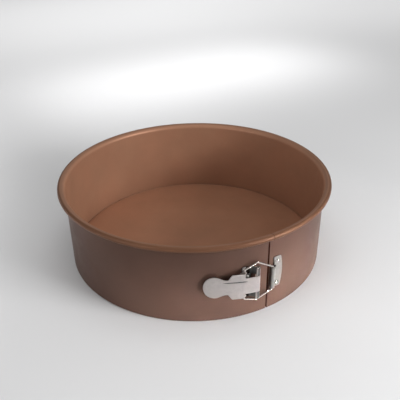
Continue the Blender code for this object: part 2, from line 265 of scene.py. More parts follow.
def lathe(name, profile, place, axis, looks, sides=40):
    """A solid of revolution: (radius, distance along the axis) from one pole to the other."""
    turn = axis.to_track_quat("Z", "Y")
    verts, rings, faces = [], [], []
    for radius, along in profile:
        steps = 1 if radius == 0 else sides
        rings.append([len(verts) + k for k in range(steps)])
        for k in range(steps):
            a = 2 * pi * k / sides
            verts.append(place + turn @ Vector((radius * cos(a), radius * sin(a), along)))
    for ring, following in zip(rings, rings[1:]):
        for k in range(sides):
            n = (k + 1) % sides
            corners = [ring[k % len(ring)], ring[n % len(ring)],
                       following[n % len(following)], following[k % len(following)]]
            faces.append(tuple(dict.fromkeys(corners)))
    return smooth_mesh(name, verts, faces, looks)


def tube(name, points, radius, looks, sides=20):
    """A round wire along points, with domed ends."""
    tangents = directions(points)
    across = tangents[0].orthogonal().normalized()
    stations = []
    for point, tangent in zip(points, tangents):
        across = (across - tangent * across.dot(tangent)).normalized()
        stations.append((point, across, tangent.cross(across), radius))

    def dome(station, out):
        point, u, v, _ = station
        turns = [radians(a) for a in (25, 50, 75)]
        return [(point + out * radius * sin(a), u, v, radius * cos(a)) for a in turns]

    stations = dome(stations[0], -tangents[0])[::-1] + stations + dome(stations[-1], tangents[-1])
    verts = [p + (u * cos(2 * pi * k / sides) + v * sin(2 * pi * k / sides)) * r
             for p, u, v, r in stations for k in range(sides)]
    faces = []
    for i in range(len(stations) - 1):
        for k in range(sides):
            n = (k + 1) % sides
            faces.append((i * sides + k, i * sides + n, (i + 1) * sides + n, (i + 1) * sides + k))
    last = (len(stations) - 1) * sides
    faces += [tuple(range(sides)), tuple(range(last + sides - 1, last - 1, -1))]
    return smooth_mesh(name, verts, faces, looks)


def rounded(corners, steps=5):
    """A closed line through (x, y, radius) corners, each one rounded by its radius."""
    line = []
    for i, (x, y, radius) in enumerate(corners):
        corner = Vector((x, y))
        if radius == 0:
            line.append(corner)
            continue
        back = (Vector(corners[i - 1][:2]) - corner).normalized()
        on = (Vector(corners[(i + 1) % len(corners)][:2]) - corner).normalized()
        half_angle = back.angle(on) / 2
        centre = corner + (back + on).normalized() * radius / sin(half_angle)
        first, last = [corner + way * radius / tan(half_angle) - centre for way in (back, on)]
        start = atan2(first.y, first.x)
        sweep = (atan2(last.y, last.x) - start + pi) % (2 * pi) - pi
        line += [centre + Vector((cos(start + sweep * k / steps), sin(start + sweep * k / steps))) * radius
                 for k in range(steps + 1)]
    return line


def resampled(loop, step):
    """A closed loop with extra points wherever two stand further apart than step."""
    dense = []
    for a, b in zip(loop, loop[1:] + loop[:1]):
        parts = max(1, int((b - a).length / step + 0.999))
        dense += [a + (b - a) * k / parts for k in range(parts)]
    return [p for i, p in enumerate(dense) if (p - dense[i - 1]).length > 1e-3]


def inset(loop, distance):
    """An anticlockwise loop moved to its left by a small distance."""
    moved = []
    for i, point in enumerate(loop):
        along = (loop[(i + 1) % len(loop)] - loop[i - 1]).normalized()
        moved.append(point + Vector((-along.y, along.x)) * distance)
    return moved


def inside(points, loop):
    """Which of the points lie inside a loop, as an array of booleans."""
    ax, ay = np.array(loop).T
    bx, by = np.roll(ax, -1), np.roll(ay, -1)
    x, y = points[:, :1], points[:, 1:]
    crossed = (ay > y) != (by > y)
    rise = np.where(by == ay, 1.0, by - ay)
    return (crossed & (x < ax + (y - ay) * (bx - ax) / rise)).sum(1) % 2 == 1


def on_sheet(points, outline, holes):
    """Which of the points lie on a sheet: inside its outline and outside its holes."""
    fits = inside(points, outline)
    for hole in holes:
        fits &= ~inside(points, hole)
    return fits


def filling(outline, holes, taken, columns, step):
    """Points that divide the inside of a sheet, none of them close to a point that is taken."""
    us, vs = [p.x for p in outline], [p.y for p in outline]
    columns = [u for u in columns if min(us) < u < max(us)]
    grid = np.array([(u, v) for u in columns for v in np.arange(min(vs), max(vs), step)])
    taken = np.array([tuple(p) for p in taken])
    room = np.array([np.hypot(*(taken - g).T).min() for g in grid])
    return [Vector(g) for g in grid[on_sheet(grid, outline, holes) & (room > 0.25)]]


def centroid(points, triangle):
    return sum((points[i] for i in triangle), Vector((0, 0))) / 3


def flat_sheet(outline, holes, creases, thickness, columns, step):
    """A flat sheet's points, half its thickness at each one, and its triangles.

    The thickness falls to nothing along the outline and the holes, on a soft curve.
    """
    soft = thickness * 0.35     # how far in from an edge the sheet has its full thickness
    shares = (0.0, 0.02, 0.12, 0.4, 1.0)
    heights = [thickness / 2 * (1 - (1 - share) ** 3) ** (1 / 3) for share in shares]
    points, edges, half = [], [], []

    def add_loop(loop, height):
        first = len(points)
        points.extend(loop)
        half.extend([height] * len(loop))
        edges.extend((first + i, first + (i + 1) % len(loop)) for i in range(len(loop)))

    for loop, way in [(outline, 1)] + [(hole, -1) for hole in holes]:
        for share, height in zip(shares, heights):
            add_loop(inset(loop, soft * share * way), height)
    for loop in creases:
        add_loop(loop, thickness / 2)
    points += filling(outline, holes, points, columns, step)
    half += [thickness / 2] * (len(points) - len(half))
    flat, _, triangles, origin, _, _ = delaunay_2d_cdt(points, edges, [], 0, 1e-5)
    halves = [half[old[0]] if old else thickness / 2 for old in origin]
    kept = on_sheet(np.array([centroid(flat, t) for t in triangles]), outline, holes)
    return flat, halves, [t for t, keep in zip(triangles, kept) if keep]


def stamped(name, outline, place, thickness, looks, columns,
            holes=(), creases=(), rise=None, marked=None, step=1.2):
    """A stamped sheet with soft edges, bent into place.

    outline and holes are anticlockwise loops on the flat sheet. place(u, v, h) puts a point of the
    flat sheet, h above its middle, on the pan. columns are the u values to divide the sheet at, and
    creases are loops of extra points where rise(u, v) shapes the sheet. A second look is for the
    places where marked(u, v) is true, or for the whole back where there is no marked.
    """
    flat, halves, triangles = flat_sheet(outline, holes, creases, thickness, columns, step)
    verts, front, back = [], {}, {}
    for i in sorted({i for t in triangles for i in t}):
        u, v = flat[i]
        lift = rise(u, v) if rise else 0.0
        front[i] = back[i] = len(verts)
        verts.append(place(u, v, lift + halves[i]))
        if halves[i] > 0:
            back[i] = len(verts)
            verts.append(place(u, v, lift - halves[i]))
    thick = [t for t in triangles if any(front[i] != back[i] for i in t)]
    faces = [tuple(front[i] for i in t) for t in thick]
    faces += [tuple(back[i] for i in reversed(t)) for t in thick]
    slots = [0] * len(thick) + [len(looks) - 1] * len(thick)
    if marked:
        slots = [int(marked(*centroid(flat, t))) for t in thick] * 2
    return smooth_mesh(name, verts, faces, looks, slots)


class Track:
    """A plan line that a sheet follows: place() puts flat points on it, u along the line."""

    def __init__(self, line, height=lambda u: 0.0, side=1):
        self.line = np.array([(p.x, p.y) for p in line])
        steps = np.hypot(*np.diff(self.line, axis=0).T)
        self.u = np.concatenate([[0.0], np.cumsum(steps)])
        slopes = np.gradient(self.line, self.u, axis=0)
        slopes /= np.linalg.norm(slopes, axis=1)[:, None]
        self.out = np.stack([slopes[:, 1], -slopes[:, 0]], 1) * side
        self.height = height

    def place(self, u, v, h):
        x, y = (np.interp(u, self.u, self.line[:, k] + self.out[:, k] * h) for k in (0, 1))
        return Vector((x, y, v + self.height(u)))


def curl(centre, radius, start, end, step=0.3):
    """Plan points of a knuckle round a vertical axis."""
    return [centre + beside(centre, a) * radius for a in spaced(start, end, step / radius * 57.3)]


# ---------------------------------------------------------------- the pieces

def seam_edge(side):
    """The angle of a band's edge at each height: a wide gap below the rim and a narrow one in it."""
    top = HEIGHT - RIM_GAP_DROP

    def edge(z):
        gap = SEAM_GAP + (RIM_GAP - SEAM_GAP) * ease((z - top) / RIM_GAP_FADE)
        return side * gap / 2 / WALL_R
    return edge


def make_band(outside, inner, cut_shade):
    """The band in three pieces: two rigid sides on their bodies, and the stretch at the back, where the band
    flexes, on no body.
    """
    path = band_path()
    # the cut ends take the seam's painted shade
    looks = (inner, outside, cut_shade)

    def upright(i):
        return lambda z: STEP * i

    columns = round(pi / STEP)
    right = [seam_edge(1)] + [upright(i) for i in range(1, columns - BACK_HALF + 1)]
    left = [upright(i) for i in range(BACK_HALF - columns, 0)] + [seam_edge(-1)]
    back = [upright(i) for i in range(columns - BACK_HALF, columns + BACK_HALF + 1)]
    mesh = swept_sheet("band_left_side", path, left, looks)
    shown("band_left_side", mesh, "band_left_body", ["band_left"])
    mesh = swept_sheet("band_right_side", path, right, looks)
    shown("band_right_side", mesh, "band_right_body", ["band_right"])
    mesh = swept_sheet("band_back", path, back, looks)
    flexing = shown("band_back", mesh, None)
    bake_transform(flexing)


def make_tongue(seam_shade, inner):
    """The strip behind the seam, welded to the left side and set back for the right one to pass."""
    welded, free = -SHEET * 1.5 + 0.05, -SHEET * 1.5 - CLEAR
    bend_start, bend = -4.0, 3.0

    def depth(s):
        return welded + (free - welded) * ease((s - bend_start) / bend)

    line = [wall_point(s, depth(s)) for s in spaced(TONGUE_START, TONGUE_END, 0.4)]
    track = Track(line)
    low, high = TONGUE_Z
    end = track.u[-1]
    radius = 1.2
    corners = [(0, low, radius), (end, low, radius), (end, high, radius), (0, high, radius)]
    outline = resampled(rounded(corners), 1.5)
    # the tongue's outer face, seen through the seam's gap, is painted dark as shade
    mesh = stamped("seam_tongue", outline, track.place, SHEET, [seam_shade, inner], spaced(0, end, 0.8), step=4.0)
    shown("seam_tongue", mesh, "band_left_body")


def make_base(look):
    """The lift-out base, a flat disc whose top slopes down a little at its edge."""
    low = SHEET + CLEAR
    high = low + BASE_T
    soft = BASE_T / 2 - 0.15
    edge = arc((BASE_R - soft, low + soft), soft, -90, 60, 8)
    brow, width, drop, steps = BASE_R - 3.2, 2.7, 0.3, 6
    slope = [Vector((brow + width * k / steps, high - drop * ease(k / steps))) for k in range(steps, 0, -1)]
    rings = spaced(0, brow - 0.8, 12.0)
    profile = [(r, low) for r in rings + [BASE_R - soft - 0.6]] + [(p.x, p.y) for p in edge + slope]
    profile += [(r, high) for r in rings[::-1]]
    mesh = lathe("base_disc", profile, Vector((0, 0, 0)), Vector((0, 0, 1)), [look], sides=360)
    shown("base_disc", mesh, "base_body", ["base_plate"])


def lever_distance(s):
    """How far the lever's sheet stands from the wall: more and more from its paddle to its pin."""
    top = PIN_D + CURL_IN + LEVER_T / 2
    lead = 8
    return PADDLE_D + (top - PADDLE_D) * ease((s - PADDLE_END + lead) / (PIN_S - PADDLE_END + lead))


def lever_track():
    """The lever's line and the place of each s along it."""
    stops = spaced(PADDLE_END, PIN_S, 0.4)
    flat = [wall_point(s, lever_distance(s)) for s in stops]
    line = flat + curl(PIN, CURL_IN + LEVER_T / 2, 90, -190)[1:]
    plain = Track(line)
    along = plain.u[:len(stops)]
    track = Track(line, lambda u: LATCH_Z + lean(np.interp(u, along, stops)))
    return track, lambda s: float(np.interp(s, stops, along))


def lever_outline(at, end):
    """The lever's flat outline, anticlockwise: a round paddle, a neck, a wide body and a tongue."""
    upper = []
    steps, fullness = 24, 2.2
    for i in range(1, steps + 1):
        turn = radians(90 * i / steps)
        reach = cos(turn) ** (2 / fullness)
        upper.append((at(PADDLE_S - reach * (PADDLE_S - PADDLE_END)), PADDLE_HALF * sin(turn), 0))
    for s in spaced(PADDLE_S, NECK_S, 0.6)[1:]:
        share = ease((s - PADDLE_S) / (NECK_S - PADDLE_S))
        upper.append((at(s), PADDLE_HALF + (NECK_HALF - PADDLE_HALF) * share, 0))
    body_right = at(BODY_RIGHT)
    upper += [(at(NECK_S + 1.6), NECK_HALF, 0.8), (at(BODY_LEFT), BODY_HALF, 1.0),
              (body_right, BODY_HALF, 0.7), (body_right, TONGUE_HALF, 0.6), (end, TONGUE_HALF, 0.4)]
    lower = [(u, -v, r) for u, v, r in upper]
    return rounded([(at(PADDLE_END), 0, 0)] + lower + upper[::-1])


class Groove:
    """The lever's pressed groove: a V, narrower and shallower towards its two ends."""

    def __init__(self, left, right):
        self.left, self.right = left, right
        tip = 0.8
        stations = spaced(left + tip, right - tip, 0.6)
        self.creases = [self.outline(stations, 1.0), self.outline(stations, 0.7),
                        [Vector((u, GROOVE_V)) for u in stations]]

    def taper(self, u):
        return ease((u - self.left) / GROOVE_TAPER) * ease((self.right - u) / GROOVE_TAPER)

    def outline(self, stations, share):
        """The line round the groove at a share of its half width."""
        halves = [share * GROOVE_HALF * self.taper(u) for u in stations]
        lower = [Vector((u, GROOVE_V - half)) for u, half in zip(stations, halves)]
        upper = [Vector((u, GROOVE_V + half)) for u, half in zip(stations, halves)]
        return lower + upper[::-1]

    def across(self, u, v):
        """How far v is from the groove's middle, as a share of its half width at u."""
        return abs(v - GROOVE_V) / max(GROOVE_HALF * self.taper(u), 1e-3)

    def rise(self, u, v):
        return -GROOVE_DEPTH * self.taper(u) * max(0.0, 1 - self.across(u, v))

    # where the groove's walls take the dark steel: painted shade
    def shaded(self, u, v):
        return self.across(u, v) < 0.6


def make_lever(look, shadow):
    """The lever's stamping, with its pressed groove and its tongue curled round the pin."""
    track, at = lever_track()
    end = float(track.u[-1])
    outline = resampled(lever_outline(at, end), 0.6)
    columns = spaced(at(PADDLE_END) + 0.8, at(PIN_S) - 0.5, 1.0) + spaced(at(PIN_S), end - 0.3, 0.3)
    groove = Groove(at(GROOVE_LEFT), at(GROOVE_RIGHT))
    # the groove's walls are painted dark as shade
    mesh = stamped("lever_stamping", outline, track.place, LEVER_T, [look, shadow], columns,
                   creases=groove.creases, rise=groove.rise, marked=groove.shaded)
    shown("lever_stamping", mesh, "lever_body", ["lever"])


def make_ears(look):
    """The lever's two folded ears, each with the hole that the bail hooks into."""
    root = lever_distance(BODY_RIGHT - 3)
    # along the wall from the body's right edge, out from the wall, and each corner's radius
    shape = [(-5.4, root, 0), (-4.8, 4.2, 0.8), (-3.2, 2.9, 0.8), (-1.0, 2.1, 0.8),
             (1.0, 2.2, 0.8), (2.0, 3.2, 0.6), (1.8, 4.8, 0.6), (-0.4, root, 0)]
    corners = [(BODY_RIGHT + s, d, radius) for s, d, radius in shape]
    hole = [Vector((HOOK_S + p.x, HOOK_D + p.y)) for p in arc((0, 0), WIRE_R + 0.3, 0, 345, 23)]
    outline = resampled(rounded(corners), 0.4)
    columns = spaced(BODY_RIGHT - 5, BODY_RIGHT + 2, 0.8)
    for side, place in ((1, "upper"), (-1, "lower")):
        middle = LATCH_Z + lean(HOOK_S) + side * (BODY_HALF - EAR_INSET - LEVER_T / 2)

        def level(u, v, h):
            return wall_point(u, v) + Vector((0, 0, middle + h))

        mesh = stamped(f"lever_ear_{place}", outline, level, LEVER_T, [look], columns, holes=[hole], step=0.8)
        shown(f"lever_ear_{place}", mesh, "lever_body")


def make_bracket(look, shadow):
    """The bracket: a plate, slotted above and below, whose right edge curls round the pin."""
    base_d = CLEAR + PLATE / 2
    radius = CURL_IN + PLATE / 2
    top = PIN_S - 0.5
    flat = spaced(BRACKET_LEFT, BRACKET_RISE, 0.4)
    rise = spaced(BRACKET_RISE, top, 0.3)[1:]
    line = [wall_point(s, base_d) for s in flat]
    for s in rise:
        share = (s - BRACKET_RISE) / (top - BRACKET_RISE)
        line.append(wall_point(s, base_d + (PIN_D - radius - base_d) * ease(share)))
    line += curl(PIN, radius, -90, 165)[1:]
    stops = flat + rise
    along = Track(line).u[:len(stops)]
    track = Track(line, lambda u: LATCH_Z + lean(np.interp(u, along, stops)) * BRACKET_LEAN)
    end, root = float(track.u[-1]), float(track.u[len(flat) - 1])
    half, inner = BRACKET_HALF, BRACKET_KNUCKLE
    near, far = (float(np.interp(s, stops, along)) for s in BRACKET_SLOT)
    lower = [(0, -half, 1.2), (near, -half, 0.4), (near, -inner, 0.5), (far, -inner, 0.5), (far, -half, 0.4),
             (end, -half, 0.3), (end, -inner, 0.3), (root, -inner, 0.6)]
    outline = resampled(rounded(lower + [(u, -v, r) for u, v, r in lower[::-1]]), 0.5)
    columns = spaced(0.6, root, 0.9) + spaced(root + 0.3, end - 0.3, 0.3)
    # painted shade: dark steel from the slots round the knuckle, all but its last 1.5 mm, which keeps the
    # plain steel
    mesh = stamped("bracket_stamping", outline, track.place, PLATE, [look, shadow], columns,
                   marked=lambda u, v: near < u < end - 1.5)
    shown("bracket_stamping", mesh, "band_left_body", ["latch_bracket"])


def catch_outline(right, root, end):
    """The catch plate's flat outline, from the top of its bowed edge, with a round relief in it.

    u runs from the bowed edge, at right on the wall, over the plate's root to the knuckle's end.
    """
    low, high = CATCH_Z
    middle, half = (low + high) / 2, (high - low) / 2
    level = CATCH_RIGHT - 4     # the S at which the tilted plate keeps its heights

    def tilted(u, v, radius):
        return (u, v - (right - u - level) * LEAN, radius)

    shares = spaced(-0.96, 0.96, 0.08)[::-1]
    edge = [tilted(CATCH_BOW * share ** 2, middle + half * share, 0.0) for share in shares]
    for corner in (0, -1):
        edge[corner] = (*edge[corner][:2], 0.5)
    shoulder = CATCH_BOW + 0.6
    start, finish = 40, 70 - 360
    centre = (root - 1.9, KNUCKLE_Z[1] - CATCH_RELIEF * sin(radians(start)))
    relief = [(p.x, p.y, 0.0) for p in arc(centre, CATCH_RELIEF, start, finish, 18)]
    arm = [(root, KNUCKLE_Z[0], 0.4), (end, KNUCKLE_Z[0], 0.3), (end, KNUCKLE_Z[1], 0.3)]
    lower = [tilted(shoulder, low, 0.8), tilted(root, low, 1.0)]
    upper = [tilted(root, high, 1.0), tilted(shoulder, high, 0.8)]
    return rounded(edge + lower + arm + relief + upper)


def make_catch(look):
    """The catch plate: bowed at its right edge and curled round the bail at its left."""
    radius = CURL_IN + PLATE / 2
    right = CATCH_RIGHT + CATCH_BOW
    line = [wall_point(s, CLEAR + PLATE / 2) for s in spaced(right, CATCH_FLAT, 0.4)]
    track = Track(line + curl(CATCH, radius, -90, -345)[1:], side=-1)
    end, root = float(track.u[-1]), right - CATCH_ROOT
    outline = resampled(catch_outline(right, root, end), 0.5)
    columns = spaced(0.5, root, 0.9) + spaced(root + 0.3, end - 0.3, 0.3)
    mesh = stamped("catch_stamping", outline, track.place, PLATE, [look], columns)
    shown("catch_stamping", mesh, "band_right_body", ["catch_plate"])


def make_rivet(node, body, s, z, look):
    """A dome-headed rivet with a flat tail inside the wall."""
    tail = -SHEET - 0.2
    head = CLEAR + PLATE + 0.05
    brim = head + 0.15
    profile = [(0, tail - 0.5), (RIVET_HEAD_R - 0.3, tail - 0.5), (RIVET_HEAD_R - 0.08, tail - 0.4),
               (RIVET_HEAD_R, tail - 0.2), (RIVET_HEAD_R, tail), (RIVET_R, tail), (RIVET_R, head),
               (RIVET_HEAD_R - 0.05, head), (RIVET_HEAD_R, head + 0.1)]
    for a in range(0, 90, 10):
        profile.append((RIVET_HEAD_R * cos(radians(a)), brim + RIVET_RISE * sin(radians(a))))
    profile.append((0, brim + RIVET_RISE))
    foot = wall_point(s, 0)
    mesh = lathe(f"{node}_dome", profile, foot + Vector((0, 0, z)), foot.normalized(), [look])
    shown(f"{node}_dome", mesh, body, [node])


def make_pin(look):
    """The lever's pivot pin, with a low dome at each end."""
    half = BRACKET_HALF + 0.1
    dome = [(PIN_R, half - 0.2), (PIN_R * 0.95, half), (PIN_R * 0.75, half + 0.2),
            (PIN_R * 0.4, half + 0.35), (0, half + 0.4)]
    profile = [(r, -z) for r, z in dome[::-1]] + dome
    mesh = lathe("pivot_pin", profile, PIN + Vector((0, 0, LATCH_Z)), Vector((0, 0, 1)), [look])
    shown("pivot_pin", mesh, "band_left_body", ["lever_pin"])


def bent_wire(points, radius, steps=10):
    """A line in space through the points, each inner corner rounded."""
    line = [points[0]]
    for before, corner, after in zip(points, points[1:], points[2:]):
        back, on = (before - corner).normalized(), (after - corner).normalized()
        half_angle = back.angle(on) / 2
        centre = corner + (back + on).normalized() * radius / sin(half_angle)
        first, last = [corner + way * radius / tan(half_angle) - centre for way in (back, on)]
        line += [centre + first.slerp(last, k / steps) for k in range(steps + 1)]
    return line + [points[-1]]


def make_bail(look):
    """The wire bail, and the short ends of it that sit in the holes of the lever's ears."""
    share = (BAIL_S - CATCH_S) / (HOOK_S - CATCH_S)
    wide = CATCH + (HOOK - CATCH) * share
    hook_mid, wide_mid = LATCH_Z + lean(HOOK_S), LATCH_Z + lean(BAIL_S)
    ear = BODY_HALF - EAR_INSET
    tip, elbow = ear + 0.1 + WIRE_R, BAIL_HOOK_HALF + 0.9
    over, under = KNUCKLE_Z[1] + 1.3, KNUCKLE_Z[0] - 1.6
    places = [(HOOK, hook_mid + tip), (HOOK, hook_mid + elbow), (wide, wide_mid + BAIL_HALF),
              (CATCH, over), (CATCH, under), (wide, wide_mid - BAIL_HALF),
              (HOOK, hook_mid - elbow), (HOOK, hook_mid - tip)]
    points = [plan + Vector((0, 0, z)) for plan, z in places]
    mesh = tube("bail_wire", bent_wire(points, BAIL_BEND), WIRE_R, [look])
    shown("bail_wire", mesh, "bail_body", ["wire_bail"])
    within, step = ear - LEVER_T - 0.5, 0.35
    for side, place in ((1, "upper"), (-1, "lower")):
        span = [HOOK + Vector((0, 0, hook_mid + side * (within + k * step))) for k in range(6)]
        mesh = tube(f"hook_end_{place}", span, WIRE_R - 0.05, [look])
        shown(f"hook_end_{place}", mesh, "lever_body")


# ---------------------------------------------------------------- finishes

NOISE_RANGE = (0.3, 0.7)


class Finish:
    """A node material with a Principled shader, and short ways to add its textures.

    Colours, roughness and bumps follow noise in the object's own coordinates, which are in metres.
    """

    def __init__(self, name, metallic, **sockets):
        self.material = bpy.data.materials.new(name)
        self.material.use_nodes = True
        self.tree = self.material.node_tree
        self.shader = self.tree.nodes["Principled BSDF"]
        self.shader.inputs["Metallic"].default_value = metallic
        for socket, value in sockets.items():
            self.shader.inputs[socket.replace("_", " ")].default_value = value
        self.coords = self.tree.nodes.new("ShaderNodeTexCoord").outputs["Object"]

    def link(self, out, socket):
        self.tree.links.new(out, socket)

    def noise(self, scale, detail=2.0, roughness=0.5, stretch=None, distortion=0.0):
        node = self.tree.nodes.new("ShaderNodeTexNoise")
        node.inputs["Scale"].default_value = scale
        node.inputs["Detail"].default_value = detail
        node.inputs["Roughness"].default_value = roughness
        node.inputs["Distortion"].default_value = distortion
        coords = self.coords
        if stretch:
            mapping = self.tree.nodes.new("ShaderNodeMapping")
            mapping.inputs["Scale"].default_value = stretch
            self.link(coords, mapping.inputs["Vector"])
            coords = mapping.outputs["Vector"]
        self.link(coords, node.inputs["Vector"])
        return node.outputs["Fac"]

    def spread(self, value, low, high):
        """From low to high as value goes over a noise's usual range."""
        node = self.tree.nodes.new("ShaderNodeMapRange")
        for socket, number in zip(("From Min", "From Max", "To Min", "To Max"), (*NOISE_RANGE, low, high)):
            node.inputs[socket].default_value = number
        self.link(value, node.inputs["Value"])
        return node.outputs["Result"]

    def maths(self, operation, a, b):
        node = self.tree.nodes.new("ShaderNodeMath")
        node.operation = operation
        for socket, value in zip(node.inputs, (a, b)):
            if isinstance(value, float):
                socket.default_value = value
            else:
                self.link(value, socket)
        return node.outputs[0]

    def tint(self, value, colour, low, high):
        """The colour, from low to high times as bright as value goes over a noise's usual range."""
        node = self.tree.nodes.new("ShaderNodeValToRGB")
        for element, place, share in zip(node.color_ramp.elements, NOISE_RANGE, (low, high)):
            element.position = place
            element.color = (*(min(c * share, 1.0) for c in colour), 1.0)
        self.link(value, node.inputs["Fac"])
        return node.outputs["Color"]

    def blend(self, share, a, b, kind="MIX"):
        node = self.tree.nodes.new("ShaderNodeMix")
        node.data_type = "RGBA"
        node.blend_type = kind
        for socket, value in zip((node.inputs[0], node.inputs[6], node.inputs[7]), (share, a, b)):
            if isinstance(value, (float, tuple)):
                socket.default_value = value
            else:
                self.link(value, socket)
        return node.outputs[2]

    def bump(self, height, distance, under=None):
        node = self.tree.nodes.new("ShaderNodeBump")
        node.inputs["Distance"].default_value = distance
        self.link(height, node.inputs["Height"])
        if under:
            self.link(under, node.inputs["Normal"])
        return node.outputs["Normal"]

    def place(self, axis):
        """A coordinate in metres, or the distance from the pan's axis for "R"."""
        split = self.tree.nodes.new("ShaderNodeSeparateXYZ")
        self.link(self.coords, split.inputs[0])
        if axis != "R":
            return split.outputs[axis]
        x, y = split.outputs["X"], split.outputs["Y"]
        squares = self.maths("ADD", self.maths("MULTIPLY", x, x), self.maths("MULTIPLY", y, y))
        return self.maths("POWER", squares, 0.5)

    def beyond(self, axis, low, high):
        """0 below one place along an axis and 1 past another, with a smooth change between."""
        node = self.tree.nodes.new("ShaderNodeMapRange")
        node.interpolation_type = "SMOOTHSTEP"
        node.inputs["From Min"].default_value = low * MM
        node.inputs["From Max"].default_value = high * MM
        self.link(self.place(axis), node.inputs["Value"])
        return node.outputs["Result"]

    def set(self, **sockets):
        for socket, value in sockets.items():
            self.link(value, self.shader.inputs[socket.replace("_", " ")])
        return self.material


def covered(f, left, right, low, high):
    """1 on the front of the wall between two sides and two heights, and 0 round it: where shade is painted.
    """
    share = f.beyond("Y", -100.0, -110.0)
    for axis, start, full in (("X", left - 0.5, left + 0.3), ("X", right + 0.5, right - 0.3),
                              ("Z", low - 0.8, low + 0.3), ("Z", high + 0.8, high - 0.3)):
        share = f.maths("MULTIPLY", share, f.beyond(axis, start, full))
    return share


def coating(name, colour, roughness, metallic, specular, rings=(), shade_colour=None):
    """A satin baked coating with fine metal flake, soft mottling and a faint orange peel.

    rings are colours that it changes to smoothly, each with the two distances from the wall where the
    change starts and ends. With a shade colour, shade is painted near black under the bracket and behind the
    catch plate's relief.
    """
    f = Finish(name, metallic, Specular_IOR_Level=specular)
    mottle = f.noise(22.0, 4.0, 0.55)
    flake = f.noise(2600.0, 1.0)

    def mottled(tone):
        return f.tint(mottle, tone, 0.93, 1.07)

    warm = (colour[0] * 1.03, colour[1] * 0.985, colour[2] * 0.975)
    shade = f.blend(f.spread(f.noise(34.0, 3.0), 0.0, 1.0), mottled(colour), mottled(warm))
    for ring, start, full in rings:
        shade = f.blend(f.beyond("R", WALL_R + start, WALL_R + full), shade, mottled(ring))
    if shade_colour:
        # painted shadow on the wall under the bracket and behind the catch plate's relief
        bracket = (BRACKET_LEFT, BRACKET_RISE + 0.6, LATCH_Z - BRACKET_HALF, LATCH_Z + BRACKET_HALF)
        relief = (5.3, 9.0, KNUCKLE_Z[1] - 3.0, KNUCKLE_Z[1] + 3.0)
        for shade_patch in (bracket, relief):
            shade = f.blend(covered(f, *shade_patch), shade, (*shade_colour, 1.0))
    sparkle = f.tint(flake, (1.0, 1.0, 1.0), 0.90, 1.0)
    smudge = f.noise(60.0, 5.0, 0.6, distortion=0.6)
    rough = f.maths("ADD", f.spread(smudge, roughness - 0.04, roughness + 0.05), f.spread(flake, -0.03, 0.03))
    sag = f.bump(f.noise(9.0, 1.0), 0.0006)
    peel = f.bump(f.noise(700.0, 2.0), 0.00002, under=sag)
    grain = f.bump(flake, 0.000008, under=peel)
    return f.set(Base_Color=f.blend(1.0, shade, sparkle, "MULTIPLY"), Roughness=rough, Normal=grain)


def plated(name, colour, roughness):
    """Plated steel with a satin grain, faint stains and fine scratches."""
    f = Finish(name, 1.0)
    stain = f.noise(140.0, 5.0, 0.6, distortion=0.8)
    grain = f.noise(1800.0, 3.0, 0.6)
    scratches = f.noise(350.0, 6.0, 0.75, stretch=(6.0, 6.0, 0.7), distortion=0.4)
    shade = f.tint(stain, colour, 0.90, 1.05)
    rough = f.maths("ADD", f.spread(stain, roughness + 0.05, roughness - 0.05), f.spread(grain, -0.05, 0.05))
    fine = f.bump(grain, 0.00001)
    lined = f.bump(scratches, 0.00001, under=fine)
    return f.set(Base_Color=shade, Roughness=rough, Normal=lined)


def floor_finish():
    """Plain pale matt paper."""
    f = Finish("pale_floor", 0.0, Specular_IOR_Level=0.2)
    fibre = f.noise(900.0, 3.0)
    cloud = f.noise(1.5, 2.0)
    return f.set(Base_Color=f.tint(cloud, PAPER, 0.99, 1.01),
                 Roughness=f.spread(fibre, 0.85, 0.95), Normal=f.bump(fibre, 0.00002))


# ---------------------------------------------------------------- the studio

# The camera's directions over the floor, and how far its lights stand from the pan, in metres
AHEAD = Vector((sin(HEADING), cos(HEADING), 0.0))
RIGHT = Vector((cos(HEADING), -sin(HEADING), 0.0))
SOFTBOX_AWAY, STRIP_AWAY = 1.2, 0.9


def from_camera(side, ahead, height):
    """A point given to the right of, beyond and above the pan's foot, as the camera sees it."""
    return RIGHT * side + AHEAD * ahead + Vector((0, 0, height))


def around(azimuth, elevation, distance, lift=0.0):
    """A point round the pan: azimuth in degrees from the camera's side towards its right."""
    level = distance * cos(radians(elevation))
    height = distance * sin(radians(elevation)) + lift
    return from_camera(level * sin(radians(azimuth)), -level * cos(radians(azimuth)), height)


def make_camera():
    data = bpy.data.cameras.new("camera")
    data.lens = LENS
    data.sensor_width = SENSOR
    camera = bpy.data.objects.new("camera", data)
    bpy.context.scene.collection.objects.link(camera)
    look = AHEAD * cos(PITCH) - Vector((0, 0, sin(PITCH)))
    up = RIGHT.cross(look)
    right_rolled = RIGHT * cos(ROLL) - up * sin(ROLL)
    up_rolled = RIGHT * sin(ROLL) + up * cos(ROLL)
    turn = Matrix((right_rolled, up_rolled, -look)).transposed()
    place = from_camera(CAMERA_SIDE, -CAMERA_BACK, CAMERA_HEIGHT)
    camera.matrix_world = Matrix.Translation(place) @ turn.to_4x4()
    bpy.context.scene.camera = camera


def soft_light(name, place, size, power, target=Vector((0, 0, 0.04)), spread=180.0):
    """A softbox at place, in watts, that faces target, with its beam narrowed to spread degrees."""
    data = bpy.data.lights.new(name, "AREA")
    data.shape = "RECTANGLE"
    data.size, data.size_y = size
    data.energy = power
    data.spread = radians(spread)
    light = bpy.data.objects.new(name, data)
    bpy.context.scene.collection.objects.link(light)
    light.location = place
    light.rotation_euler = (target - place).to_track_quat("-Z", "Y").to_euler()


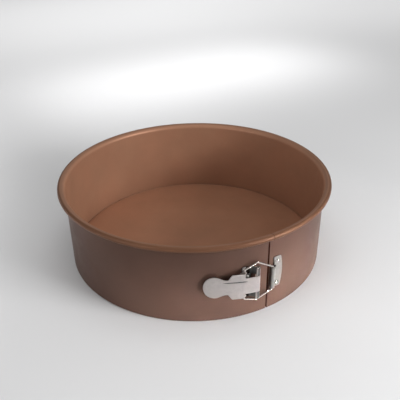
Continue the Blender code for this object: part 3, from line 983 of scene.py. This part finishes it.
def make_floor():
    reach = 4.0
    mesh = bpy.data.meshes.new("studio_floor")
    mesh.from_pydata([(-reach, -reach, 0), (reach, -reach, 0), (reach, reach, 0), (-reach, reach, 0)],
                     [], [(0, 1, 2, 3)])
    mesh.materials.append(floor_finish())
    floor = bpy.data.objects.new("studio_floor", mesh)
    bpy.context.scene.collection.objects.link(floor)
    floor.location.z = -0.0002


def make_world():
    """An even, dim white light from everywhere."""
    world = bpy.data.worlds.new("studio")
    world.use_nodes = True
    background = world.node_tree.nodes["Background"]
    background.inputs["Color"].default_value = (1.0, 1.0, 1.0, 1.0)
    background.inputs["Strength"].default_value = 0.35
    bpy.context.scene.world = world


def light_pan():
    """Softboxes round the pan, strips that light its wall at grazing angles, and two thin beams."""
    for name, azimuth, elevation, lift, size, power in (
            ("key", 60, 18, 0.1, (0.5, 0.3), 11.6),
            ("key_high", 60, 32, 0.1, (0.5, 0.3), 1.6),
            ("fill", -50, 18, 0.0, (0.7, 0.6), 3.8),
            ("top", 0, 89, 0.0, (0.7, 0.6), 2.4)):
        soft_light(name, around(azimuth, elevation, SOFTBOX_AWAY, lift), size, power)
    for azimuth, height, spread, power in (
            (25, 0.012, 7, 0.027),
            (50, 0.012, 7, 0.171),
            (50, 0.03, 10, 0.037)):
        level = Vector((0, 0, height))
        place = around(azimuth, 0, STRIP_AWAY, height)
        soft_light(f"grazing_{azimuth}_{spread}", place, (0.5, 0.02), power, level, spread)
    for azimuth, left, height, spread, power in (
            (60, 0.035, 0.05, 10, 0.022),
            (25, -0.03, 0.068, 7, 0.0036)):
        aside = around(azimuth - 90, 0, left, height)
        place = around(azimuth, 0, STRIP_AWAY) + aside
        soft_light(f"beam_{azimuth}", place, (0.03, 0.02), power, aside, spread)


def light_floor():
    """Lights that face straight down and make bright pools on the floor round the pan."""
    for name, side, ahead, height, size, spread, power in (
            ("far", 0.0, 1.7, 1.2, (2.4, 0.6), 90, 5.8),
            ("middle", 0.0, 1.0, 1.0, (1.2, 0.5), 80, 1.2),
            ("near", 0.0, 0.6, 0.5, (0.6, 0.25), 55, 0.35),
            ("left", -0.6, 0.1, 0.6, (0.3, 0.5), 50, 1.5),
            ("near_left", -0.36, -0.05, 0.35, (0.12, 0.2), 30, 0.15),
            ("far_right", 1.0, 1.2, 1.0, (0.6, 0.6), 60, 0.6)):
        place = from_camera(side, ahead, height)
        soft_light(f"floor_{name}", place, size, power, from_camera(side, ahead, 0), spread)


def make_studio():
    bpy.context.scene.view_settings.view_transform = "Standard"
    make_world()
    light_pan()
    light_floor()
    make_floor()
    make_camera()


# ---------------------------------------------------------------- the scene

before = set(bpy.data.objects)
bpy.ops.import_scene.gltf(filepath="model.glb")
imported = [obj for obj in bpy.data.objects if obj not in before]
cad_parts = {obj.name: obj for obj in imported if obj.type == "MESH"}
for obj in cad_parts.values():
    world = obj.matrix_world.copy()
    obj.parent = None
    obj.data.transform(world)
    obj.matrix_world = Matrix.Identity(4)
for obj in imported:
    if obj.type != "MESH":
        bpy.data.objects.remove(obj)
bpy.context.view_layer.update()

crest = RIM_R - SHEET / 2 - BEAD_R - WALL_R
# painted shade on the inside coat towards and over the rolled rim
rim_shade_rings = [(FLARE_SHADE, -0.1, 2.4), (RIM_SHADE, crest - 0.5, crest + 1.0)]
# the outside coat carries painted shade under the bracket and behind the catch's relief
outside = coating("rose_brown_coating", OUTSIDE, 0.42, 0.35, 0.1, shade_colour=PAINTED_SHADE)
inner = coating("copper_brown_coating", INSIDE, 0.42, 0.2, 0.15, rings=rim_shade_rings)
disc = coating("copper_brown_base", DISC, 0.40, 0.2, 0.15)
# painted shade seen in the seam's gap
shaded = coating("painted_seam_shade", SEAM_SHADE, 0.7, 0.0, 0.0)
stamped_steel = plated("plated_stamping", STEEL, 0.36)
# steel painted dark as shade, for the bracket and the lever's groove
shade_steel = plated("painted_shade_steel", SHADE_STEEL, 0.42)
catch_steel = plated("plated_catch", CATCH_STEEL, 0.38)
bright_steel = plated("plated_rivet", RIVET_STEEL, 0.16)
drawn_wire = plated("drawn_wire", WIRE, 0.20)

make_band(outside, inner, shaded)
make_tongue(shaded, inner)
make_base(disc)
make_lever(stamped_steel, shade_steel)
make_ears(stamped_steel)
make_bracket(stamped_steel, shade_steel)
make_catch(catch_steel)
make_pin(bright_steel)
make_bail(drawn_wire)
for place, z in zip(("lower", "upper"), CATCH_RIVET_Z):
    make_rivet(f"catch_rivet_{place}", "band_right_body", CATCH_RIVET_S, z, bright_steel)
# the bracket's rivets take the darker catch steel, painted shade where they sit under the lever
for place, side in (("lower", -1), ("upper", 1)):
    z = LATCH_Z + lean(BRACKET_RIVET_S) + side * BRACKET_RIVET_HALF
    make_rivet(f"bracket_rivet_{place}", "band_left_body", BRACKET_RIVET_S, z, catch_steel)
make_studio()
